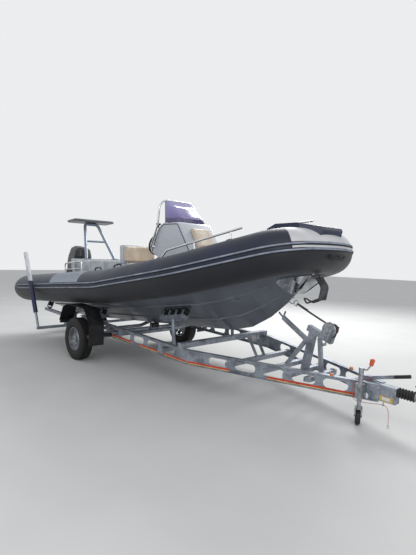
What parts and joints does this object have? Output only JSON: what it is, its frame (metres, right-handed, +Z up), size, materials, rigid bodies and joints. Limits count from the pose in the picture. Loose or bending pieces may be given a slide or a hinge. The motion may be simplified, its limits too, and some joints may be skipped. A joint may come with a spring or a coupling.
{
  "type": "rigid inflatable boat on roller trailer",
  "caption": "Rigid inflatable boat with outboard motor and centre console, standing on its galvanised roller trailer.",
  "frame": {"origin": "on the ground under the middle of the whole length, on the centre line", "axes": "+X to the bow and the trailer coupling, +Y to port, +Z up"},
  "size_m": [7.7333, 2.5838, 2.473],
  "materials": {
    "collar_fabric": "coated fabric, matt, dark blue grey",
    "strake_rubber": "smooth moulded rubber",
    "hull_gelcoat": "polished gelcoat, grey",
    "deck_gelcoat": "polished gelcoat, off white",
    "deck_sheet": "anti-slip pattern",
    "acrylic": "tinted clear acrylic",
    "stainless": "polished stainless steel",
    "vinyl": "soft marine vinyl, beige",
    "tower_paint": "painted tube, light grey",
    "bow_cap": "moulded rubbery plastic",
    "engine_paint": "gloss black paint",
    "propeller_metal": "black painted aluminium",
    "galvanised": "hot-dip galvanised, dull spangle",
    "zinc_plate": "zinc plated",
    "black_rubber": "moulded rubber",
    "black_plastic": "grained moulded plastic",
    "white_plastic": "smooth extruded plastic",
    "tyre": "road tyre rubber",
    "rim_metal": "galvanised pressed steel",
    "webbing": "woven polyester",
    "red_cord": "plastic coated cable",
    "amber_lens": "moulded lens"
  },
  "bodies": {
    "boat_and_trailer": {"anchor": "galvanised", "axle": "galvanised", "bench": "deck_gelcoat", "bench_cushions": "vinyl", "bow_channel": "stainless", "bow_cleat": "stainless", "bow_eye": "stainless", "bow_step": "bow_cap", "breakaway_cable": "red_cord", "cable_clip": "zinc_plate", "clamp_bracket": "engine_paint", "console": "deck_gelcoat", "console_cushions": "vinyl", "console_hoop": "stainless", "console_seat": "deck_gelcoat", "coupling": "zinc_plate", "coupling_bellows": "black_rubber", "cradles": "galvanised", "cross_members": "galvanised", "grab_handles": "black_rubber", "guide_posts": "galvanised", "guide_sleeves": "white_plastic", "handbrake": "galvanised", "handbrake_grip": "black_rubber", "handrails": "stainless", "helm_cushions": "vinyl", "helm_seat": "deck_gelcoat", "hull": "hull_gelcoat", "hull_rollers": "black_rubber", "jockey_mast": "zinc_plate", "keel_rollers": "black_rubber", "mudguards": "black_plastic", "rear_frame": "galvanised", "reflectors": "amber_lens", "rub_strakes": "strake_rubber", "side_beams": "galvanised", "sole": "deck_sheet", "steering_shaft": "black_plastic", "stem_band": "stainless", "stern_rails": "stainless", "throttle": "black_plastic", "tower": "tower_paint", "tower_wing": "deck_gelcoat", "tube_collar": "collar_fabric", "winch": "zinc_plate", "winch_post": "galvanised", "winch_strap": "webbing", "windscreen": "acrylic"},
    "wheel_starboard": {"tyre_starboard": "tyre", "rim_starboard": "rim_metal"},
    "wheel_port": {"tyre_port": "tyre", "rim_port": "rim_metal"},
    "swivel": {"swivel_bracket": "engine_paint"},
    "outboard": {"engine_leg": "engine_paint", "lower_unit": "engine_paint", "cowl": "engine_paint"},
    "propeller_body": {"propeller": "propeller_metal"},
    "helm_wheel": {"steering_wheel": "black_rubber"},
    "jockey_castor": {"jockey_leg": "zinc_plate"},
    "jockey_roller": {"jockey_wheel": "black_rubber"}
  },
  "joints": [
    {"name": "road_wheel_starboard", "type": "hinge", "parent": "boat_and_trailer", "child": "wheel_starboard", "pos_m": [-1.02493, -1.05, 0.325], "axis": [0, 1, 0], "continuous": true},
    {"name": "road_wheel_port", "type": "hinge", "parent": "boat_and_trailer", "child": "wheel_port", "pos_m": [-1.02493, 1.05, 0.325], "axis": [0, 1, 0], "continuous": true},
    {"name": "engine_tilt", "type": "hinge", "parent": "boat_and_trailer", "child": "swivel", "pos_m": [-2.96551, 0, 1.04026], "axis": [0, 1, 0], "range_deg": [-16, 50]},
    {"name": "engine_steer", "type": "hinge", "parent": "swivel", "child": "outboard", "pos_m": [-3.08828, 0, 0.92119], "axis": [0.1392, 0, 0.9903], "range_deg": [-32, 32]},
    {"name": "propeller_spin", "type": "hinge", "parent": "outboard", "child": "propeller_body", "pos_m": [-3.52378, 0, 0.26542], "axis": [0.9903, 0, -0.1392], "continuous": true},
    {"name": "steering_wheel_turn", "type": "hinge", "parent": "boat_and_trailer", "child": "helm_wheel", "pos_m": [-0.40941, 0, 1.83049], "axis": [-0.9336, 0, 0.3584], "range_deg": [-540, 540]},
    {"name": "jockey_castor_turn", "type": "hinge", "parent": "boat_and_trailer", "child": "jockey_castor", "pos_m": [3.14527, -0.162, 0.25], "axis": [0.0384, 0, 0.9993], "continuous": true},
    {"name": "jockey_wheel_spin", "type": "hinge", "parent": "jockey_castor", "child": "jockey_roller", "pos_m": [3.11213, -0.1083, 0.085], "axis": [-0.8943, -0.4462, 0.0344], "continuous": true}
  ],
  "couplings": [
    {"joint": "steering_wheel_turn", "follows": "engine_steer", "ratio": -16.875}
  ]
}
